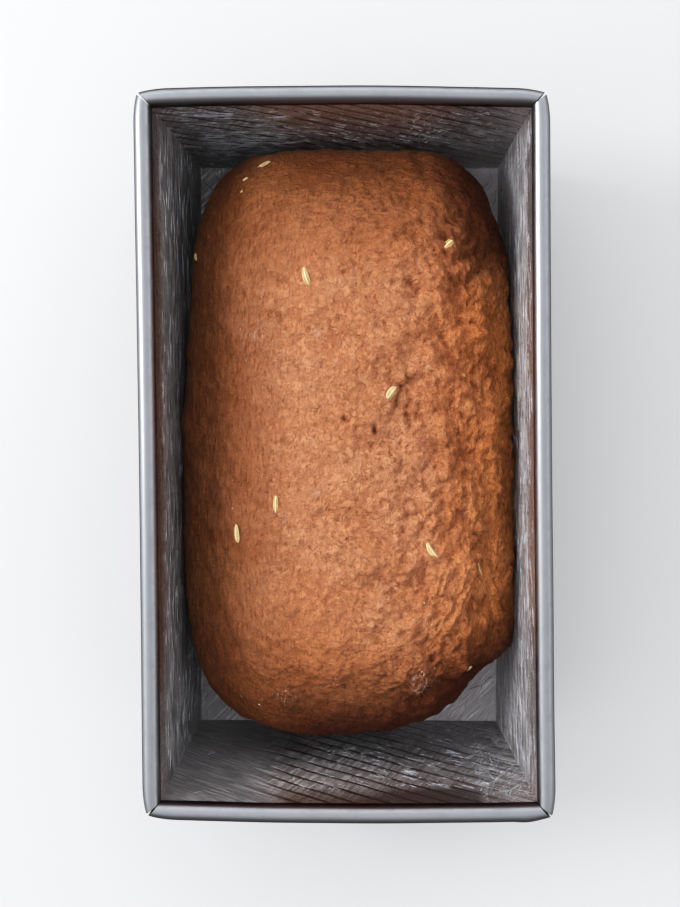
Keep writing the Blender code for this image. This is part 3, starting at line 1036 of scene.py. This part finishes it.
# Short curved cuts in the torn part of the skin, each with painted shade in its depth and a pale lip on
# one side with a painted highlight.
curve = grain(tree, place, (170, 170, 170), detail=1.5, roughness=0.5)
broken = between(tree, grain(tree, place, (260, 260, 260), detail=2), 0.52, 0.66)
broken = reckon(tree, "MULTIPLY", broken, kept(tree, "ragged"))
off_line = reckon(tree, "ABSOLUTE", reckon(tree, "SUBTRACT", curve, 0.5))
cut = reckon(tree, "MULTIPLY", between(tree, off_line, 0.034, 0.004), broken)
lip = reckon(tree, "MULTIPLY", between(tree, curve, 0.506, 0.524), between(tree, curve, 0.560, 0.530))
lip = reckon(tree, "MULTIPLY", lip, broken)

floured = reckon(tree, "MULTIPLY", kept(tree, "flour"), between(tree, mottle, 0.52, 0.40))
floured = reckon(tree, "MULTIPLY", floured, between(tree, bran, 0.40, 0.62))
colour = blend(tree, between(tree, patch, 0.35, 0.65), *DRY_CRUMB)
for share, tint, mode in (
    (between(tree, mottle, 0.49, 0.64, 0.0, 0.66), BRAN_BROWN, "MIX"),
    (between(tree, mottle, 0.47, 0.34, 0.0, 0.70), PALE_CRUMB, "MIX"),
    # painted shade in the creases
    (between(tree, plates, 1.0, 0.0, 0.0, 0.26), CREASE_SHADE, "MIX"),
    # painted shade in the hollows
    (between(tree, kept(tree, "relief"), -0.4, -1.8, 0.0, 0.30), HOLLOW_SHADE, "MIX"),
    # painted shade in the splits
    (between(tree, split, -0.18, -0.90, 0.0, 0.60), SPLIT_SHADE, "MIX"),
    (between(tree, split, 0.05, 0.22, 0.0, 0.4), RAISED_LIP, "MIX"),
    (between(tree, bran, 0.68, 0.80, 0.0, 0.45), BRAN_FLECK, "MIX"),
    # painted shade in the cuts
    (reckon(tree, "MULTIPLY", cut, 0.55), SPLIT_SHADE, "MIX"),
    # painted highlight on the cuts' lips
    (reckon(tree, "MULTIPLY", lip, 0.35), LIP_HIGHLIGHT, "MIX"),
    # painted warm shade towards the edges
    (between(tree, reach, 0.35, 0.95), FLANK_SHADE_WARMTH, "MULTIPLY"),
    # painted light on the right side
    (between(tree, spread["X"], 0.012, 0.036), RIGHT_SIDE_PAINTED_LIGHT, "MULTIPLY"),
    # painted shade down the flanks
    (kept(tree, "painted_flank_shade"), FLANK_SHADE_DARKENING, "MULTIPLY"),
    (floured, FLOUR_DUST, "MIX"),
):
    colour = blend(tree, share, colour, tint, mode)
height = reckon(tree, "MULTIPLY", crumb, 0.9)
for part, rise in ((mottle, -0.8), (plates, 0.30), (small, 0.20), (cut, -0.22), (lip, 0.10)):
    height = reckon(tree, "MULTIPLY_ADD", part, rise, height)
relief = add(tree, "ShaderNodeBump", {"Height": height, "Distance": 0.0024, "Strength": 1.0})
surface = {
    "Base Color": colour,
    "Roughness": between(tree, mottle, 0.30, 0.70, 0.40, 0.60),
    "Normal": relief.outputs[0],
}
connect(tree, shader, surface)
loaf_mesh.materials.append(dough)

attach(loaf, "root")
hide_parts("dough_loaf")

# ---------------------------------------------------------------------------------------------------
# The fennel seeds: dried ribbed fruits kneaded into the dough, which show where they reached its skin.
# Each is a narrow, slightly bent spindle with five pale ribs between greener furrows.
SEED_STEPS = 15
SEED_SIDES = 30
SEED_RIBS = 5
SEED_FLATNESS = 0.82
ABOVE_TIN = 0.08
FURROW_GREEN = ((0.400, 0.290, 0.120, 1), (0.520, 0.390, 0.180, 1))
RIB_CREAM = (0.860, 0.720, 0.480, 1)
# Place in millimetres, length and width in millimetres, turn from the loaf's length, share sunk, bend.
SEEDS = (
    ((-13.7, 61.1), 6.9, 2.1, 0.28, 0.35, 0.05),
    ((35.5, 72.7), 4.9, 2.6, -0.80, 0.35, 0.03),
    ((15.3, 21.3), 5.8, 2.5, -0.75, 0.30, 0.05),
    ((-24.0, -17.2), 6.4, 1.7, -0.05, 0.40, 0.02),
    ((-37.7, -27.8), 7.0, 2.1, -0.05, 0.35, 0.02),
    ((29.5, -32.9), 7.4, 2.2, 0.45, 0.62, 0.12),
    ((47.0, -40.5), 6.6, 0.9, 0.35, 0.55, 0.12),
    ((43.4, -76.7), 3.2, 1.5, -0.20, 0.30, 0.20),
    ((-29.6, 102.4), 5.6, 1.7, -0.85, 0.52, 0.03),
    ((-35.9, 96.7), 2.4, 0.9, -0.90, 0.45, 0.03),
    ((-37.0, 92.0), 1.2, 0.7, -0.60, 0.40, 0.03),
    ((-54.6, 70.2), 3.4, 1.5, 0.50, 0.30, 0.05),
)
loaf_shape = BVHTree.FromPolygons(points_of(loaf_mesh).tolist(), loaf_faces[:-1])


def on_loaf(x, y):
    """The loaf's skin under a place given in millimetres, and its smoothed facing there."""
    hits = []
    for right, far in ((0, 0), (1.5, 0), (-1.5, 0), (0, 1.5), (0, -1.5)):
        above = Vector(((x + right) * MM, (y + far) * MM, ABOVE_TIN))
        hits.append(loaf_shape.ray_cast(above, Vector((0, 0, -1))))
    facing = sum((hit[1] for hit in hits if hit[0]), Vector()).normalized()
    return hits[0][0], facing


def seed_points(length, width, bend):
    """A spindle with its long axis on local Y, and how far each of its points is up a rib."""
    points, ribs = [], []
    for step in range(SEED_STEPS):
        t = -1 + 2 * step / (SEED_STEPS - 1)
        girth = (1 - abs(t) ** 2.4) ** 0.62 * (1 - 0.10 * t) + 0.03
        for side in range(SEED_SIDES):
            angle = 2 * math.pi * side / SEED_SIDES
            rib = max(math.cos(SEED_RIBS * angle), 0) ** 3
            radius = width / 2 * girth * (0.90 + 0.16 * rib)
            x = radius * math.sin(angle) + bend * length * (t * t - 0.3)
            points.append((x, t * length / 2, radius * SEED_FLATNESS * math.cos(angle)))
            ribs.append(rib)
    return np.array(points), ribs


seed_parts, seed_ribs, seed_faces = [], [], []
for (x, y), length, width, turn, sunk, bend in SEEDS:
    local, ribs = seed_points(length * MM, width * MM, bend)
    middle, facing = on_loaf(x, y)
    across = Vector((0, 1, 0)).cross(facing).normalized()
    level = Matrix((across, facing.cross(across), facing)).transposed()
    lie = level @ Matrix.Rotation(turn, 3, "Z")
    lift = (0.5 - sunk) * width * MM * SEED_FLATNESS
    placed = local @ np.array(lie).T + np.array(middle + facing * lift)
    start = sum(len(part) for part in seed_parts)
    seed_faces += [tuple(start + corner for corner in face) for face in tube_faces(SEED_STEPS, SEED_SIDES)]
    seed_parts.append(placed)
    seed_ribs += ribs
seeds_mesh = bpy.data.meshes.new("fennel_seeds")
seeds_mesh.from_pydata(np.concatenate(seed_parts).tolist(), [], seed_faces)
keep_values(seeds_mesh, "rib", seed_ribs)
seeds_mesh.shade_smooth()
seeds = new_piece("fennel_seeds", seeds_mesh)

fennel, tree, shader = new_material("fennel_seed", {"Roughness": 0.48})
place = add(tree, "ShaderNodeTexCoord").outputs["Object"]
blotch = grain(tree, place, (500, 500, 500), detail=3)
furrow = blend(tree, between(tree, blotch, 0.35, 0.65), *FURROW_GREEN)
colour = blend(tree, between(tree, kept(tree, "rib"), 0.10, 0.80), furrow, RIB_CREAM)
fibre = add(tree, "ShaderNodeBump", {"Height": blotch, "Distance": 0.0001, "Strength": 0.5})
connect(tree, shader, {"Base Color": colour, "Normal": fibre.outputs[0]})
seeds_mesh.materials.append(fennel)

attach(seeds, "root")

# ---------------------------------------------------------------------------------------------------
# The flour: what is left of the rye flour the loaf was rolled in, in fine crumbs that gather in small
# patches. A few larger specks lie singly, most of them towards the loaf's near end.
FLOUR_SPECKS = (
    (-8.0, 38.7), (-37.5, -87.3), (-30.9, -89.9), (27.0, -51.0), (27.7, -57.1),
    (25.3, -65.9), (24.7, -69.2), (31.2, -75.5), (-39.4, -19.0),
)
SPECK_SIZE = 0.34
CRUMBS_PER_MM = 9
LOOSE_CRUMBS = 110
# One patch was pressed into a ring: its place, its reach across and along, and its crumbs.
RING_PLACE = (25.9, -80.3)
RING_SIZE = (2.3, 4.2)
RING_CRUMBS = 70
FLOUR_TINTS = ((0.56, 0.36, 0.26, 1), (0.82, 0.66, 0.56, 1))
crumb_shape = bmesh.new()
bmesh.ops.create_icosphere(crumb_shape, subdivisions=1, radius=1)
crumb_points = np.array([vertex.co for vertex in crumb_shape.verts])
crumb_faces = [tuple(vertex.index for vertex in face.verts) for face in crumb_shape.faces]
crumb_shape.free()

random = np.random.default_rng(23)
crumbs = [(place, SPECK_SIZE) for place in FLOUR_SPECKS]
for place, size, strength in FLOUR_PATCHES:
    for _ in range(int(CRUMBS_PER_MM * size * strength)):
        crumbs.append((tuple(random.normal(place, size * 0.5)), random.uniform(0.07, 0.17)))
for _ in range(LOOSE_CRUMBS):
    crumbs.append(((random.uniform(-50, 50), random.uniform(-92, 96)), random.uniform(0.06, 0.12)))
for turn in np.linspace(0, 2 * math.pi, RING_CRUMBS, endpoint=False):
    way = np.array((math.cos(turn), math.sin(turn)))
    on_ring = RING_PLACE + RING_SIZE * way + random.normal(0, 0.35, 2)
    crumbs.append((tuple(on_ring), random.uniform(0.08, 0.20)))
flour_parts, flour_faces = [], []
for (x, y), size in crumbs:
    middle, facing = on_loaf(x, y)
    if middle is None:
        continue
    lumpy = crumb_points * random.uniform(0.6, 1.2, (len(crumb_points), 1)) * (size * MM)
    lumpy *= (random.uniform(0.7, 1.5), random.uniform(0.7, 1.5), 0.6)
    start = len(flour_parts) * len(crumb_points)
    flour_faces += [tuple(start + corner for corner in face) for face in crumb_faces]
    lie = np.array(facing.to_track_quat("Z", "Y").to_matrix())
    flour_parts.append(lumpy @ lie.T + np.array(middle))
flour_mesh = bpy.data.meshes.new("flour_crumbs")
flour_mesh.from_pydata(np.concatenate(flour_parts).tolist(), [], flour_faces)
flour_mesh.shade_smooth()
flour = new_piece("flour_crumbs", flour_mesh)

rye_flour, tree, shader = new_material("rye_flour", {"Roughness": 0.8})
tint = grain(tree, add(tree, "ShaderNodeTexCoord").outputs["Object"], (900, 900, 900), detail=1)
connect(tree, shader, {"Base Color": blend(tree, tint, *FLOUR_TINTS)})
flour_mesh.materials.append(rye_flour)

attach(flour, "root")

# ---------------------------------------------------------------------------------------------------
# The studio: a pale matt table, one soft lamp high on the left and an even pale room, with the camera
# straight above the tin, a third of a metre over its rim.
TABLE_SIZE = 6.0
TABLE_TINTS = ((0.545, 0.545, 0.552, 1), (0.580, 0.580, 0.587, 1))
LAMP_ELEVATION = math.radians(38)
LAMP_TOWARDS_FAR = math.radians(14)
LAMP_DISTANCE = 1.2
LAMP_SIZE = 0.40
LAMP_POWER = 6.2
ROOM_WALLS = 1.94
LEFT_WINDOW = 0.40
FAR_WINDOW = 0.30
CEILING = 0.65
SKIRTING = 0.30
NEAR_SHADE = 0.30
ROOM_LIGHT = (0.98, 0.99, 1.0, 1)
# Points of the tone curve: the light that reaches the film, and how light it is shown.
TONES = ((0.06, 0.036), (0.18, 0.145), (0.38, 0.385), (0.60, 0.64), (0.80, 0.83))
CAMERA_PLACE = Vector((0.00745, 0.02176, 0.4008))
CAMERA_TURNS = [math.radians(angle) for angle in (0.889, -0.388, -0.092)]
CAMERA_LENS = 39.66
CAMERA_SHIFT = (-0.0229, -0.0517)

bpy.ops.mesh.primitive_plane_add(size=TABLE_SIZE)
table = bpy.context.object
table.name = "table"
table_top, tree, shader = new_material("pale_table", {"Roughness": 0.55})
cloud = grain(tree, add(tree, "ShaderNodeTexCoord").outputs["Object"], (3, 3, 3), detail=3)
connect(tree, shader, {"Base Color": blend(tree, cloud, *TABLE_TINTS)})
table.data.materials.append(table_top)

lamp_data = bpy.data.lights.new("lamp", "AREA")
lamp_data.shape = "DISK"
lamp_data.size = LAMP_SIZE
lamp_data.energy = LAMP_POWER
lamp = bpy.data.objects.new("lamp", lamp_data)
bpy.context.scene.collection.objects.link(lamp)
lamp_out = LAMP_DISTANCE * math.cos(LAMP_ELEVATION)
lamp.location = (
    -lamp_out * math.cos(LAMP_TOWARDS_FAR),
    lamp_out * math.sin(LAMP_TOWARDS_FAR),
    LAMP_DISTANCE * math.sin(LAMP_ELEVATION),
)
lamp.rotation_euler = (-Vector(lamp.location)).to_track_quat("-Z", "Y").to_euler()
lamp.visible_camera = False

room = bpy.data.worlds.new("room")
bpy.context.scene.world = room
room.use_nodes = True
tree = room.node_tree
way = add(tree, "ShaderNodeSeparateXYZ", {0: add(tree, "ShaderNodeTexCoord").outputs["Generated"]}).outputs
level = between(tree, way["Z"], 0.40, 0.90, 1.0, CEILING)
level = reckon(tree, "MULTIPLY", level, between(tree, way["Z"], 0.05, 0.35, SKIRTING, 1.0))
level = reckon(tree, "MULTIPLY", level, between(tree, way["Y"], -0.30, -0.90, 1.0, NEAR_SHADE))
walls = reckon(tree, "MULTIPLY_ADD", way["X"], -LEFT_WINDOW, ROOM_WALLS)
walls = reckon(tree, "MULTIPLY_ADD", way["Y"], FAR_WINDOW, walls)
room_light = tree.nodes["Background"]
room_light.inputs["Color"].default_value = ROOM_LIGHT
connect(tree, room_light, {"Strength": reckon(tree, "MULTIPLY", level, walls)})

camera_data = bpy.data.cameras.new("camera")
camera_data.lens = CAMERA_LENS
camera_data.sensor_width = 36
camera_data.shift_x, camera_data.shift_y = CAMERA_SHIFT
camera_data.clip_start = 0.01
camera = bpy.data.objects.new("camera", camera_data)
bpy.context.scene.collection.objects.link(camera)
tilt, roll, heading = CAMERA_TURNS
turned = Matrix.Rotation(heading, 3, "Z") @ Matrix.Rotation(roll, 3, "Y") @ Matrix.Rotation(tilt, 3, "X")
camera.matrix_world = Matrix.Translation(CAMERA_PLACE) @ turned.transposed().to_4x4()
bpy.context.scene.camera = camera
view = bpy.context.scene.view_settings
view.view_transform = "Standard"
view.use_curve_mapping = True
for light, shown in TONES:
    view.curve_mapping.curves[3].points.new(light, shown)
view.curve_mapping.update()
